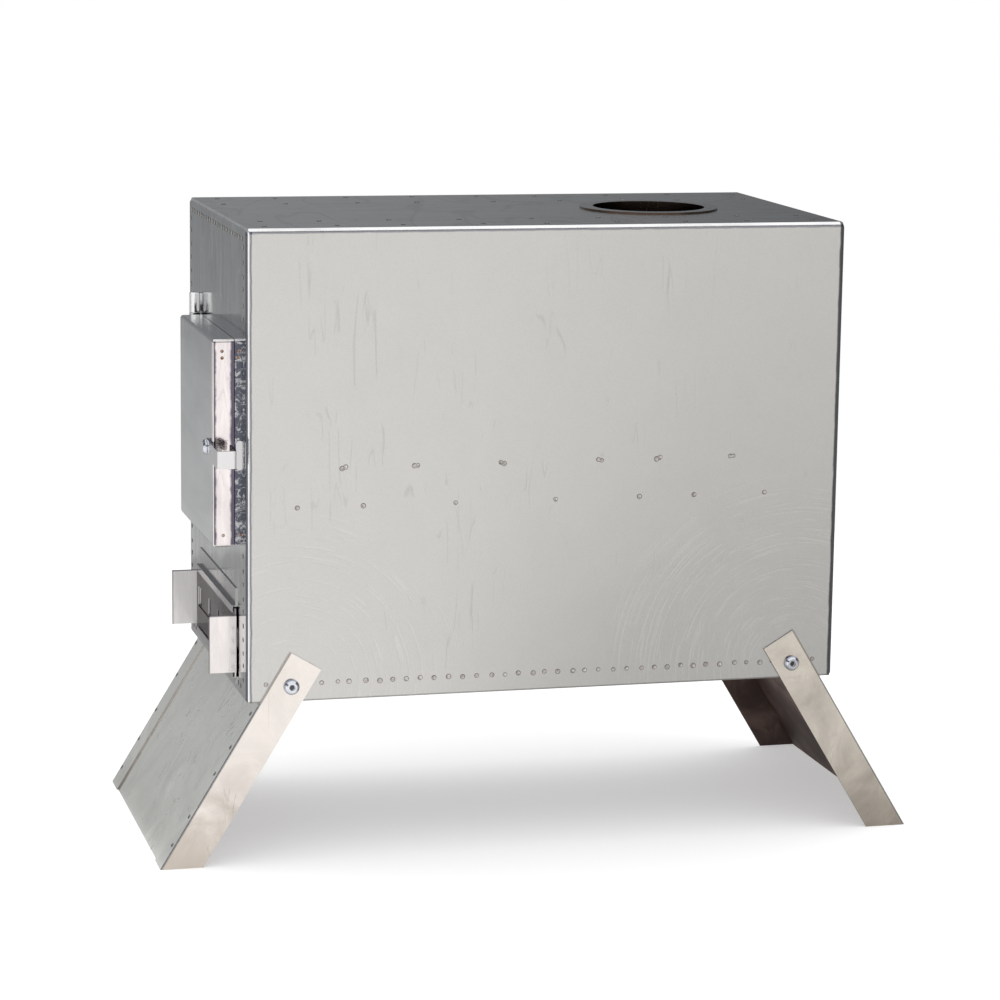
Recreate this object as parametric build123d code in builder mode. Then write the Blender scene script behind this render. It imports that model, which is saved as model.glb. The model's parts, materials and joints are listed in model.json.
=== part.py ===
from build123d import *
import os
from math import cos, radians, sin

# Camping wood stove: a spot-welded box of stainless sheet with a hinged feed door,
# a hook latch, a sliding air damper, a flue socket in the roof and two folding legs.
# Millimetres.  +Z is up, the door is at -X, the side with the latch is at -Y.
# The sizes below are taken from the middle plane of the body.  Each piece is moved by
# `centring` when it is saved, which puts the origin on the ground under the middle of the
# whole stove, latch and bolt heads included.

# Body box
body_length = 420.0
body_width = 232.0
body_height = 322.0
ground_clearance = 113.0
sheet = 1.0
top_bend_radius = 3.0
end_fold_radius = 1.2
lip_width = 13.0
panel_inset = 2.0
panel_corner_radius = 3.0

# Bottom pan
pan_side_flange = 22.0
pan_end_flange = 12.0
pan_corner_relief = 3.0

# Stiffening ribs, hat section
rib_sheet = 1.0
rib_length = 394.0
rib_width = 40.0
rib_crown_width = 18.0
rib_depth = 8.0
rib_slope = 3.6
rib_wall_across = 1.2
side_rib_height = 146.0
roof_rib_offset = 63.0

# Grate and the rails that carry it
grate_height = 72.0
grate_sheet = 2.0
grate_length = 380.0
grate_side_gap = 1.5
grate_slot_length = 48.0
grate_slot_width = 6.0
grate_slot_rows = 18
grate_slot_columns = 3
grate_slot_pitch_x = 20.0
grate_slot_pitch_y = 62.0
rail_length = 390.0
rail_flange = 12.0

# Flue socket
flue_bore_radius = 40.0
flue_wall = 1.0
flue_flange_radius = 49.5
flue_flange_sheet = 1.0
flue_depth = 40.0
flue_from_back = 107.0
flue_hole_gap = 0.3

# Door and its frame
door_width = 134.0
door_height = 141.0
door_bottom = 106.5
door_centre_y = -39.0
door_depth = 14.8
door_edge_radius = 2.0
door_corner_radius = 2.5
door_seam = 0.5
frame_depth = 6.0
frame_flange = 10.0
frame_corner_radius = 2.5
feed_corner_radius = 5.0
feed_hole_margin = 4.0
liner_flange = 6.0
liner_plug_margin = 14.0
liner_plug_depth = 2.5
liner_plug_taper = 30.0

# Door hinge
knuckle_radius = 4.0
knuckle_length = 14.0
knuckle_chamfer = 0.8
knuckle_gap = 0.5
knuckle_panel_gap = 0.3
knuckle_pad_width = 4.0
knuckle_above_door = 11.0
hinge_y = 67.0
hinge_pin_radius = 2.0
pin_running_gap = 0.05
leaf_sheet = 1.5
leaf_tab = 11.0
leaf_height = 13.0

# Hook latch and its keeper
latch_sheet = 1.5
latch_height = 12.0
latch_eye_radius = 6.0
latch_reach = 43.0
latch_slope = 3.0
latch_hook_tip = 23.0
latch_hook_height = 7.0
latch_bend_radius = 1.8
latch_pivot_y = -92.0
latch_pivot_height = 173.0
latch_face_gap = 0.3
latch_frame_gap = 3.8
rivet_radius = 3.0
rivet_head_radius = 5.2
rivet_head_height = 2.3
rivet_head_chamfer = 1.4
rivet_tail_radius = 4.5
rivet_tail_height = 1.5
keeper_sheet = 1.0
keeper_height = 20.0
keeper_edge_margin = 0.5
keeper_corner_radius = 2.4
keeper_door_gap = 0.4
keeper_lip_height = 7.0
keeper_lip_reach = 16.0
keeper_hook_gap = 0.6
keeper_drop = 0.8

# Air damper
slide_sheet = 1.0
slide_bottom = 10.0
slide_top = 58.5
slide_panel_gap = 1.0
slide_lip_gap = 0.4
slide_edge_gap = 0.4
slide_pull = 6.4
slide_push = 3.6
slide_stop_gap = 0.3
grip_length = 19.0
grip_bottom = 14.0
grip_height = 40.0
recess_depth = 0.7
recess_height = 17.0
recess_end_margin = 6.0
recess_corner_radius = 3.0
recess_wall = 0.5
guide_sheet = 0.8
guide_length = 147.0
guide_centre_y = -4.2
guide_lip = 4.0
upper_guide_foot = 13.0
lower_guide_foot = 5.0
air_slot_width = 9.0
air_slot_height = 12.0
air_slot_pitch = 36.0
air_slot_count = 4
air_slot_centre_y = 8.0
air_slot_centre_height = 36.5

# Folding legs
leg_sheet = 1.0
leg_splay = 31.2
leg_width = 25.1
leg_top_overrun = 20.0
leg_outer_edge = 13.1
leg_lip = 25.0
leg_bend_radius = 1.4
leg_side_gap = 0.3
leg_stop_gap = 0.3
leg_web_side_gap = 1.5
bolt_from_end = 30.6
bolt_height = 10.5

# M6 button-head bolts and nuts
bolt_radius = 3.0
bolt_running_gap = 0.05
bolt_head_radius = 5.25
bolt_head_height = 3.3
bolt_head_chamfer = 1.8
bolt_socket_flats = 4.0
bolt_socket_depth = 1.9
bolt_face_gap = 0.3
bolt_tail = 2.0
nut_flats = 10.0
nut_height = 5.0

# Places worked out from the sizes above
body_bottom = ground_clearance
body_top = body_bottom + body_height
shell_length = body_length - 2 * sheet
panel_front = -body_length / 2
panel_middle_z = body_bottom + (sheet + body_height - panel_inset) / 2
panel_height = body_height - panel_inset - sheet
panel_width = body_width - 2 * panel_inset
inner_width = body_width - 2 * sheet
flue_x = body_length / 2 - flue_from_back
frame_front = panel_front - frame_depth
door_back = frame_front - door_seam
door_front = door_back - door_depth
door_middle_z = body_bottom + door_bottom + door_height / 2
door_near_y = door_centre_y - door_width / 2
door_far_y = door_centre_y + door_width / 2
feed_width = door_width - 2 * frame_flange
feed_height = door_height - 2 * frame_flange
panel_hole_width = feed_width + 2 * feed_hole_margin
panel_hole_height = feed_height + 2 * feed_hole_margin
bolt_x = body_length / 2 - bolt_from_end
bolt_z = body_bottom + bolt_height
latch_tip = latch_reach * cos(radians(latch_slope)) + latch_height / 2 * sin(radians(latch_slope))
near_limit = latch_pivot_y - latch_tip
far_limit = body_width / 2 + leg_side_gap + leg_sheet + bolt_face_gap + bolt_head_height
centring = -(near_limit + far_limit) / 2


def save(piece, label):
    """Name a finished piece, move it into the stove's frame and write it to its own file."""
    placed = piece.part.moved(Location((0, centring, 0)))
    placed.label = label
    export_step(placed, f"parts/{label}.step")


def save_mirrored(piece, about, label):
    """Write the opposite-handed twin of a piece."""
    with BuildPart() as twin:
        add(piece.part.mirror(about))
    save(twin, label)


def on_outside(edge):
    """Whether an edge lies on the outer surface of the body's walls, roof or top bends."""
    middle = edge.center()
    return abs(middle.Y) > body_width / 2 - sheet or middle.Z > body_top - sheet


os.makedirs("parts", exist_ok=True)

# Shell: one sheet bent over both sides and the roof, its ends folded inwards as lips
with BuildPart() as shell:
    with BuildSketch(Plane.YZ.offset(-shell_length / 2)) as section:
        with Locations((0, body_bottom + body_height / 2)):
            Rectangle(body_width, body_height)
        fillet(section.vertices().group_by(Axis.Y)[-1], top_bend_radius)
    extrude(amount=shell_length)
    open_faces = [shell.faces().sort_by(Axis.X)[0], shell.faces().sort_by(Axis.X)[-1]]
    offset(amount=-sheet, openings=open_faces + [shell.faces().sort_by(Axis.Z)[0]])
    for end in (-shell_length / 2, shell_length / 2 - sheet):
        with BuildSketch(Plane.YZ.offset(end)) as lip:
            with Locations((0, body_bottom + body_height / 2)):
                Rectangle(body_width, body_height)
            fillet(lip.vertices().group_by(Axis.Y)[-1], top_bend_radius)
            with Locations((0, body_bottom + (body_height - lip_width) / 2)):
                Rectangle(body_width - 2 * lip_width, body_height - lip_width, mode=Mode.SUBTRACT)
            with Locations((0, body_bottom + sheet / 2)):
                Rectangle(inner_width, sheet, mode=Mode.SUBTRACT)
        extrude(amount=sheet)
    for end in (shell.faces().sort_by(Axis.X)[0], shell.faces().sort_by(Axis.X)[-1]):
        folds = end.edges().filter_by(lambda edge: edge.length > top_bend_radius and on_outside(edge))
        fillet(folds, end_fold_radius)
    with BuildSketch(Plane.XY.offset(body_top)):
        with Locations((flue_x, 0)):
            Circle(flue_bore_radius + flue_wall + flue_hole_gap)
    extrude(amount=-3 * sheet, mode=Mode.SUBTRACT)
    with BuildSketch(Plane.XZ):
        with Locations((-bolt_x, bolt_z), (bolt_x, bolt_z)):
            Circle(bolt_radius + bolt_running_gap)
    extrude(amount=body_width, both=True, mode=Mode.SUBTRACT)
save(shell, "shell")

# Bottom pan: a tray with flanges turned up inside the shell and welded to its sides
with BuildPart() as bottom_pan:
    with BuildSketch(Plane.XY.offset(body_bottom)):
        Rectangle(shell_length, inner_width)
    extrude(amount=sheet)
    for side in (-1, 1):
        with BuildSketch(Plane.XZ.offset(-side * inner_width / 2)):
            with Locations((0, body_bottom + pan_side_flange / 2)):
                Rectangle(shell_length - 2 * (sheet + pan_corner_relief), pan_side_flange)
            with Locations((-bolt_x, bolt_z), (bolt_x, bolt_z)):
                Circle(bolt_radius + bolt_running_gap, mode=Mode.SUBTRACT)
        extrude(amount=side * sheet)
        with BuildSketch(Plane.YZ.offset(side * shell_length / 2)):
            with Locations((0, body_bottom + pan_end_flange / 2)):
                Rectangle(body_width - 2 * (lip_width + pan_corner_relief), pan_end_flange)
        extrude(amount=-side * sheet)
save(bottom_pan, "bottom_pan")

# Front panel: a flat sheet welded on the lips, with air slots and a hole for the feed
# opening whose edge lies hidden behind the door frame's flange
with BuildPart() as front_panel:
    with BuildSketch(Plane.YZ.offset(panel_front)) as blank:
        with Locations((0, panel_middle_z)):
            Rectangle(panel_width, panel_height)
        fillet(blank.vertices().group_by(Axis.Y)[-1], panel_corner_radius)
    extrude(amount=sheet)
    with BuildSketch(Plane.YZ.offset(panel_front)):
        with Locations((door_centre_y, door_middle_z)):
            RectangleRounded(panel_hole_width, panel_hole_height, feed_corner_radius)
        with Locations((air_slot_centre_y, body_bottom + air_slot_centre_height)):
            with GridLocations(air_slot_pitch, 0, air_slot_count, 1):
                Rectangle(air_slot_width, air_slot_height)
    extrude(amount=sheet, mode=Mode.SUBTRACT)
save(front_panel, "front_panel")

# Back panel: the same blank without openings
with BuildPart() as back_panel:
    with BuildSketch(Plane.YZ.offset(shell_length / 2)) as blank:
        with Locations((0, panel_middle_z)):
            Rectangle(panel_width, panel_height)
        fillet(blank.vertices().group_by(Axis.Y)[-1], panel_corner_radius)
    extrude(amount=sheet)
save(back_panel, "back_panel")


def hat_section():
    """Outline of a hat-section rib: feet on the local X axis, crown towards +Y.

    The walls slope by rib_slope sideways over the rib's depth, and seen across the section
    a sloping wall is a little wider than the sheet is thick.
    """
    foot = rib_width / 2
    crown = rib_crown_width / 2
    inner = crown - rib_wall_across
    base = crown + rib_slope
    inner_base = base - rib_wall_across
    with BuildLine() as outline:
        Polyline(
            (-foot, 0), (-foot, rib_sheet), (-base, rib_sheet), (-crown, rib_depth),
            (crown, rib_depth), (base, rib_sheet), (foot, rib_sheet), (foot, 0),
            (inner_base, 0), (inner, rib_depth - rib_sheet),
            (-inner, rib_depth - rib_sheet), (-inner_base, 0), close=True,
        )
    make_face(outline.edges())


# Side rib: a hat-section strip inside each wall, behind the two rows of spot welds
near_wall = Plane(
    origin=(0, -inner_width / 2, body_bottom + side_rib_height),
    x_dir=(0, 0, -1),
    z_dir=(1, 0, 0),
)
with BuildPart() as side_rib:
    with BuildSketch(near_wall.offset(-rib_length / 2)):
        hat_section()
    extrude(amount=rib_length)
save(side_rib, "side_rib_near")
save_mirrored(side_rib, Plane.XZ, "side_rib_far")

# Roof rib: the same strip under the roof, either side of the flue
under_roof = Plane(origin=(0, -roof_rib_offset, body_top - sheet), x_dir=(0, -1, 0), z_dir=(1, 0, 0))
with BuildPart() as roof_rib:
    with BuildSketch(under_roof.offset(-rib_length / 2)):
        hat_section()
    extrude(amount=rib_length)
save(roof_rib, "roof_rib_near")
save_mirrored(roof_rib, Plane.XZ, "roof_rib_far")

# Grate rail: an angle welded along each wall, one flange under the grate
with BuildPart() as grate_rail:
    with BuildSketch(Plane.YZ.offset(-rail_length / 2)):
        with Locations((-inner_width / 2 + rail_flange / 2, body_bottom + grate_height - sheet / 2)):
            Rectangle(rail_flange, sheet)
        with Locations((-inner_width / 2 + sheet / 2, body_bottom + grate_height - rail_flange / 2)):
            Rectangle(sheet, rail_flange)
    extrude(amount=rail_length)
save(grate_rail, "grate_rail_near")
save_mirrored(grate_rail, Plane.XZ, "grate_rail_far")

# Grate: a loose slotted plate lying on the rails
with BuildPart() as grate:
    with BuildSketch(Plane.XY.offset(body_bottom + grate_height)):
        Rectangle(grate_length, inner_width - 2 * grate_side_gap)
        with GridLocations(grate_slot_pitch_x, grate_slot_pitch_y, grate_slot_rows, grate_slot_columns):
            Rectangle(grate_slot_width, grate_slot_length, mode=Mode.SUBTRACT)
    extrude(amount=grate_sheet)
save(grate, "grate")

# Flue socket: a flanged sleeve through the roof that takes the first pipe
with BuildPart() as flue_socket:
    with BuildSketch(Plane.XY.offset(body_top)):
        with Locations((flue_x, 0)):
            Circle(flue_flange_radius)
    extrude(amount=flue_flange_sheet)
    with BuildSketch(Plane.XY.offset(body_top)):
        with Locations((flue_x, 0)):
            Circle(flue_bore_radius + flue_wall)
    extrude(amount=-flue_depth)
    with BuildSketch(Plane.XY.offset(body_top + flue_flange_sheet)):
        with Locations((flue_x, 0)):
            Circle(flue_bore_radius)
    extrude(amount=-flue_depth - flue_flange_sheet, mode=Mode.SUBTRACT)
save(flue_socket, "flue_socket")

# Door frame: a raised collar round the feed opening, its back flange welded to the panel
with BuildPart() as door_frame:
    with BuildSketch(Plane.YZ.offset(frame_front)):
        with Locations((door_centre_y, door_middle_z)):
            RectangleRounded(door_width, door_height, frame_corner_radius)
    extrude(amount=frame_depth)
    with BuildSketch(Plane.YZ.offset(frame_front)):
        with Locations((door_centre_y, door_middle_z)):
            Rectangle(door_width - 2 * sheet, door_height - 2 * sheet)
    extrude(amount=frame_depth - sheet, mode=Mode.SUBTRACT)
    with BuildSketch(Plane.YZ.offset(frame_front)):
        with Locations((door_centre_y, door_middle_z)):
            RectangleRounded(feed_width, feed_height, feed_corner_radius)
    extrude(amount=frame_depth, mode=Mode.SUBTRACT)
save(door_frame, "door_frame")

# Door skin: a folded pan, open at the back, with a hole for the latch rivet
latch_pivot_z = body_bottom + latch_pivot_height
with BuildPart() as door_skin:
    with BuildSketch(Plane.YZ.offset(door_front)):
        with Locations((door_centre_y, door_middle_z)):
            RectangleRounded(door_width, door_height, door_corner_radius)
    extrude(amount=door_depth)
    offset(amount=-sheet, openings=door_skin.faces().sort_by(Axis.X)[-1])
    fillet(door_skin.faces().sort_by(Axis.X)[0].edges(), door_edge_radius)
    with BuildSketch(Plane.YZ.offset(door_front)):
        with Locations((latch_pivot_y, latch_pivot_z)):
            Circle(rivet_radius)
    extrude(amount=2 * sheet, mode=Mode.SUBTRACT)
save(door_skin, "door_skin")

# Door liner: an inner tray that closes the pan, with a pressed plug facing the fire
with BuildPart() as door_liner:
    with BuildSketch(Plane.YZ.offset(door_back - liner_flange)):
        with Locations((door_centre_y, door_middle_z)):
            RectangleRounded(door_width - 2 * sheet, door_height - 2 * sheet, door_corner_radius - sheet)
    extrude(amount=liner_flange)
    with BuildSketch(Plane.YZ.offset(door_back)):
        with Locations((door_centre_y, door_middle_z)):
            Rectangle(door_width - 2 * liner_plug_margin, door_height - 2 * liner_plug_margin)
    extrude(amount=liner_plug_depth, taper=liner_plug_taper)
    offset(amount=-sheet, openings=door_liner.faces().sort_by(Axis.X)[0])
save(door_liner, "door_liner")

# Hinge: on each of two pins a fixed knuckle on the panel and a door knuckle with its leaf
hinge_x = panel_front - knuckle_panel_gap - knuckle_radius
upper_knuckle_top = body_bottom + door_bottom + door_height + knuckle_above_door
door_knuckle_top = upper_knuckle_top - knuckle_length - knuckle_gap
leaf_back = hinge_x - knuckle_radius + leaf_sheet

with BuildPart() as hinge_knuckle:
    with BuildSketch(Plane.XY.offset(upper_knuckle_top - knuckle_length)):
        with Locations((hinge_x, hinge_y)):
            Circle(knuckle_radius)
    extrude(amount=knuckle_length)
    chamfer(hinge_knuckle.edges().filter_by(GeomType.CIRCLE).sort_by(Axis.Z)[-1], knuckle_chamfer)
    with BuildSketch(Plane.XY.offset(upper_knuckle_top - knuckle_length + knuckle_chamfer)):
        with Locations((panel_front - knuckle_radius / 2, hinge_y)):
            Rectangle(knuckle_radius, knuckle_pad_width)
    extrude(amount=knuckle_length - 2 * knuckle_chamfer)
    with BuildSketch(Plane.XY.offset(upper_knuckle_top - knuckle_length)):
        with Locations((hinge_x, hinge_y)):
            Circle(hinge_pin_radius)
    extrude(amount=knuckle_length - sheet, mode=Mode.SUBTRACT)
save(hinge_knuckle, "hinge_knuckle_upper")

with BuildPart() as hinge_leaf:
    with BuildSketch(Plane.XY.offset(door_knuckle_top - knuckle_length)):
        with Locations((hinge_x, hinge_y)):
            Circle(knuckle_radius)
    extrude(amount=knuckle_length)
    chamfer(hinge_leaf.edges().filter_by(GeomType.CIRCLE).sort_by(Axis.Z)[0], knuckle_chamfer)
    with BuildSketch(Plane.XY.offset(door_knuckle_top - (knuckle_length + leaf_height) / 2)):
        with BuildLine():
            Polyline(
                (leaf_back, hinge_y), (leaf_back, door_far_y), (leaf_back - leaf_tab, door_far_y),
                (leaf_back - leaf_tab, door_far_y + leaf_sheet),
                (leaf_back - leaf_sheet, door_far_y + leaf_sheet), (leaf_back - leaf_sheet, hinge_y),
                close=True,
            )
        make_face()
    extrude(amount=leaf_height)
    with BuildSketch(Plane.XY.offset(door_knuckle_top - knuckle_length)):
        with Locations((hinge_x, hinge_y)):
            Circle(hinge_pin_radius + pin_running_gap)
    extrude(amount=knuckle_length, mode=Mode.SUBTRACT)
save(hinge_leaf, "hinge_leaf_upper")

with BuildPart() as hinge_pin:
    with BuildSketch(Plane.XY.offset(door_knuckle_top - knuckle_length)):
        with Locations((hinge_x, hinge_y)):
            Circle(hinge_pin_radius)
    extrude(amount=2 * knuckle_length + knuckle_gap - sheet)
save(hinge_pin, "hinge_pin_upper")

door_middle = Plane.XY.offset(door_middle_z)
save_mirrored(hinge_knuckle, door_middle, "hinge_knuckle_lower")
save_mirrored(hinge_leaf, door_middle, "hinge_leaf_lower")
save_mirrored(hinge_pin, door_middle, "hinge_pin_lower")

# Latch rivet: button head outside the latch, tail closed behind the door skin
latch_back = door_front - latch_face_gap
latch_front = latch_back - latch_sheet
with BuildPart() as latch_rivet:
    with BuildSketch(Plane.YZ.offset(latch_front - latch_face_gap)):
        with Locations((latch_pivot_y, latch_pivot_z)):
            Circle(rivet_head_radius)
    extrude(amount=-rivet_head_height)
    chamfer(latch_rivet.faces().sort_by(Axis.X)[0].edges(), rivet_head_chamfer)
    with BuildSketch(Plane.YZ.offset(latch_front - latch_face_gap)):
        with Locations((latch_pivot_y, latch_pivot_z)):
            Circle(rivet_radius)
    extrude(amount=latch_sheet + 2 * latch_face_gap + sheet)
    with BuildSketch(Plane.YZ.offset(door_front + sheet)):
        with Locations((latch_pivot_y, latch_pivot_z)):
            Circle(rivet_tail_radius)
    extrude(amount=rivet_tail_height)
save(latch_rivet, "latch_rivet")

# Latch: a strap bent into a hook round the near side of the door.
# Its own plane has X towards the hook and Y up the strap, and lies against the door.
slope = radians(latch_slope)
latch_plane = Plane(
    origin=(latch_back, latch_pivot_y, latch_pivot_z),
    x_dir=(0, -cos(slope), -sin(slope)),
    z_dir=(-1, 0, 0),
)
hook_back = frame_front - latch_frame_gap
hook_depth = hook_back - latch_front
with BuildPart() as latch:
    with BuildSketch(latch_plane):
        with Locations((latch_reach / 2, 0)):
            Rectangle(latch_reach, latch_height)
        Circle(latch_eye_radius)
    extrude(amount=latch_sheet)
    with BuildSketch(latch_plane.offset(latch_sheet)):
        with Locations((latch_reach - latch_sheet / 2, 0)):
            Rectangle(latch_sheet, latch_height)
    extrude(amount=-hook_depth)
    with BuildSketch(latch_plane.offset(latch_sheet - hook_depth)):
        with Locations(((latch_hook_tip + latch_reach) / 2, (latch_height - latch_hook_height) / 2)):
            Rectangle(latch_reach - latch_hook_tip, latch_hook_height)
    extrude(amount=latch_sheet)
    outer_end = latch.faces().sort_by(Axis.Y)[0]
    fillet(outer_end.edges().sort_by(Axis.X)[0], latch_bend_radius)
    fillet(latch.faces().sort_by(Axis.Y)[0].edges().sort_by(Axis.X)[-1], latch_bend_radius)
    with BuildSketch(latch_plane.offset(latch_sheet)):
        Circle(rivet_radius + pin_running_gap)
    extrude(amount=-latch_sheet, mode=Mode.SUBTRACT)
save(latch, "latch")

# Keeper: a rounded foot on the frame, an arm beside the door and a lip under the hook
keeper_arm_y = door_near_y - keeper_door_gap - keeper_sheet
lip_back = hook_back - latch_sheet - keeper_hook_gap
lip_front = lip_back - keeper_sheet
keeper_back = panel_front - 2 * keeper_edge_margin
hook_underside_z = (
    latch_pivot_z
    - latch_reach * sin(slope)
    + (latch_height / 2 - latch_hook_height) * cos(slope)
)
lip_top_z = hook_underside_z - keeper_drop
lip_middle_z = lip_top_z - keeper_lip_height / 2
with BuildPart() as latch_keeper:
    with BuildSketch(Plane.XZ.offset(-door_near_y)):
        with Locations(((frame_front + panel_front) / 2, lip_top_z)):
            RectangleRounded(frame_depth - 2 * keeper_edge_margin, keeper_height, keeper_corner_radius)
    extrude(amount=keeper_door_gap + keeper_sheet)
    with BuildSketch(Plane.XZ.offset(-door_near_y + keeper_door_gap)):
        with Locations(((lip_front + keeper_back) / 2, lip_middle_z)):
            Rectangle(keeper_back - lip_front, keeper_lip_height)
    extrude(amount=keeper_sheet)
    with BuildSketch(Plane.YZ.offset(lip_front)):
        with Locations((keeper_arm_y + keeper_sheet - keeper_lip_reach / 2, lip_middle_z)):
            Rectangle(keeper_lip_reach, keeper_lip_height)
    extrude(amount=keeper_sheet)
save(latch_keeper, "latch_keeper")

# Damper slide: a plate with a pressed recess, four air slots and a finger grip at each end
slide_back = panel_front - slide_panel_gap
slide_front = slide_back - slide_sheet
guide_near_y = guide_centre_y - guide_length / 2
slide_length = guide_length + 2 * (slide_sheet + slide_stop_gap) + slide_pull + slide_push
slide_near_y = guide_near_y - slide_push - slide_stop_gap - slide_sheet
slide_middle_y = slide_near_y + slide_length / 2
with BuildPart() as damper_slide:
    with BuildSketch(Plane.YZ.offset(slide_front)):
        with Locations((slide_middle_y, body_bottom + (slide_bottom + slide_top) / 2)):
            Rectangle(slide_length - 2 * slide_sheet, slide_top - slide_bottom)
        with Locations((slide_middle_y, body_bottom + grip_bottom + grip_height / 2)):
            Rectangle(slide_length, grip_height)
    extrude(amount=slide_sheet)
    for grip_y in (slide_near_y, slide_near_y + slide_length - slide_sheet):
        with BuildSketch(Plane.XZ.offset(-grip_y)):
            with Locations((slide_back - grip_length / 2, body_bottom + grip_bottom + grip_height / 2)):
                Rectangle(grip_length, grip_height)
        extrude(amount=-slide_sheet)
    recess_width = slide_length - 2 * (slide_sheet + recess_end_margin)
    hollow_width = recess_width - 2 * recess_wall
    hollow_height = recess_height - 2 * recess_wall
    with BuildSketch(Plane.YZ.offset(slide_back)):
        with Locations((slide_middle_y, body_bottom + air_slot_centre_height)):
            RectangleRounded(recess_width, recess_height, recess_corner_radius)
    extrude(amount=recess_depth)
    with BuildSketch(Plane.YZ.offset(slide_front)):
        with Locations((slide_middle_y, body_bottom + air_slot_centre_height)):
            RectangleRounded(hollow_width, hollow_height, recess_corner_radius - recess_wall)
    extrude(amount=recess_depth, mode=Mode.SUBTRACT)
    with BuildSketch(Plane.YZ.offset(slide_front)):
        with Locations((air_slot_centre_y, body_bottom + air_slot_centre_height)):
            with GridLocations(air_slot_pitch, 0, air_slot_count, 1):
                Rectangle(air_slot_width, air_slot_height)
    extrude(amount=slide_sheet + recess_depth, mode=Mode.SUBTRACT)
save(damper_slide, "damper_slide")

# Damper guides: joggled strips welded to the panel, their lips over the slide's edges
lip_outer_x = slide_front - slide_lip_gap - guide_sheet
joggle_depth = panel_front - lip_outer_x
for label, edge_z, foot, away in (
    ("damper_guide_upper", slide_top + slide_edge_gap, upper_guide_foot, 1),
    ("damper_guide_lower", slide_bottom - slide_edge_gap, lower_guide_foot, -1),
):
    with BuildPart() as guide:
        with BuildSketch(Plane.XZ.offset(-guide_near_y)):
            with Locations((panel_front - guide_sheet / 2, body_bottom + edge_z + away * foot / 2)):
                Rectangle(guide_sheet, foot)
            with Locations((panel_front - joggle_depth / 2, body_bottom + edge_z + away * guide_sheet / 2)):
                Rectangle(joggle_depth, guide_sheet)
            with Locations((lip_outer_x + guide_sheet / 2, body_bottom + edge_z - away * guide_lip / 2)):
                Rectangle(guide_sheet, guide_lip)
            with Locations((lip_outer_x + guide_sheet / 2, body_bottom + edge_z + away * guide_sheet / 2)):
                Rectangle(guide_sheet, guide_sheet)
        extrude(amount=-guide_length)
    save(guide, label)

# Leg arm: an angle outside the body wall, square at the top, cut level at the foot.
# The leg plane has X down the leg and Y towards the leg's outer face.
splay = radians(leg_splay)
leg_reach = (body_bottom + bolt_height) / cos(splay) + leg_width
arm_face_y = -(body_width / 2 + leg_side_gap + leg_sheet)
lip_start = (bolt_height + leg_outer_edge * sin(splay) + leg_stop_gap) / cos(splay)
leg_plane = Plane(
    origin=(-bolt_x, arm_face_y, bolt_z),
    x_dir=(-sin(splay), 0, -cos(splay)),
    z_dir=(0, 1, 0),
)
with BuildPart() as leg_arm:
    with BuildSketch(leg_plane):
        with Locations(((lip_start - leg_top_overrun) / 2, leg_outer_edge - leg_width / 2)):
            Rectangle(lip_start + leg_top_overrun, leg_width)
        Circle(bolt_radius + bolt_running_gap, mode=Mode.SUBTRACT)
    extrude(amount=leg_sheet)
    angle_start = leg_plane.origin + leg_plane.x_dir * lip_start
    with BuildSketch(Plane(origin=angle_start, x_dir=leg_plane.y_dir, z_dir=leg_plane.x_dir)) as angle:
        with Locations((leg_outer_edge - leg_width / 2, leg_sheet / 2)):
            Rectangle(leg_width, leg_sheet)
        with Locations((leg_outer_edge - leg_sheet / 2, leg_lip / 2)):
            Rectangle(leg_sheet, leg_lip)
        fillet(angle.vertices().group_by(Axis.X)[-1].sort_by(Axis.Y)[0], leg_bend_radius)
    extrude(amount=leg_reach)
    split(bisect_by=Plane.XY, keep=Keep.TOP)
save(leg_arm, "front_leg_arm_near")
save_mirrored(leg_arm, Plane.XZ, "front_leg_arm_far")
save_mirrored(leg_arm, Plane.YZ, "rear_leg_arm_near")
with BuildPart() as rear_leg_arm_far:
    add(leg_arm.part.mirror(Plane.XZ).mirror(Plane.YZ))
save(rear_leg_arm_far, "rear_leg_arm_far")

# Leg web: a flat sheet spot welded behind the lips of both arms
web_width = 2 * (abs(arm_face_y) - leg_sheet - leg_web_side_gap)
with BuildPart() as leg_web:
    with BuildSketch(leg_plane.offset(-arm_face_y - web_width / 2)):
        with Locations(((lip_start + leg_reach) / 2, leg_outer_edge - 1.5 * leg_sheet)):
            Rectangle(leg_reach - lip_start, leg_sheet)
    extrude(amount=web_width)
    split(bisect_by=Plane.XY, keep=Keep.TOP)
save(leg_web, "front_leg_web")
save_mirrored(leg_web, Plane.YZ, "rear_leg_web")

# Leg bolts: button heads outside the arms, shanks through the body wall and the pan
bolt_seat_y = -arm_face_y + bolt_face_gap
bolt_end_y = inner_width / 2 - sheet - nut_height - bolt_tail
bolt_head_plane = Plane(origin=(-bolt_x, -bolt_seat_y, bolt_z), x_dir=(1, 0, 0), z_dir=(0, -1, 0))
with BuildPart() as leg_bolts:
    with BuildSketch(bolt_head_plane):
        Circle(bolt_head_radius)
    extrude(amount=bolt_head_height)
    chamfer(leg_bolts.faces().sort_by(Axis.Y)[0].edges(), bolt_head_chamfer)
    with BuildSketch(bolt_head_plane.offset(bolt_head_height)):
        RegularPolygon(bolt_socket_flats / 2, 6, major_radius=False)
    extrude(amount=-bolt_socket_depth, mode=Mode.SUBTRACT)
    with BuildSketch(bolt_head_plane):
        Circle(bolt_radius)
    extrude(amount=bolt_end_y - bolt_seat_y)
    mirror(about=Plane.XZ)
save(leg_bolts, "front_leg_bolts")
save_mirrored(leg_bolts, Plane.YZ, "rear_leg_bolts")

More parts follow.
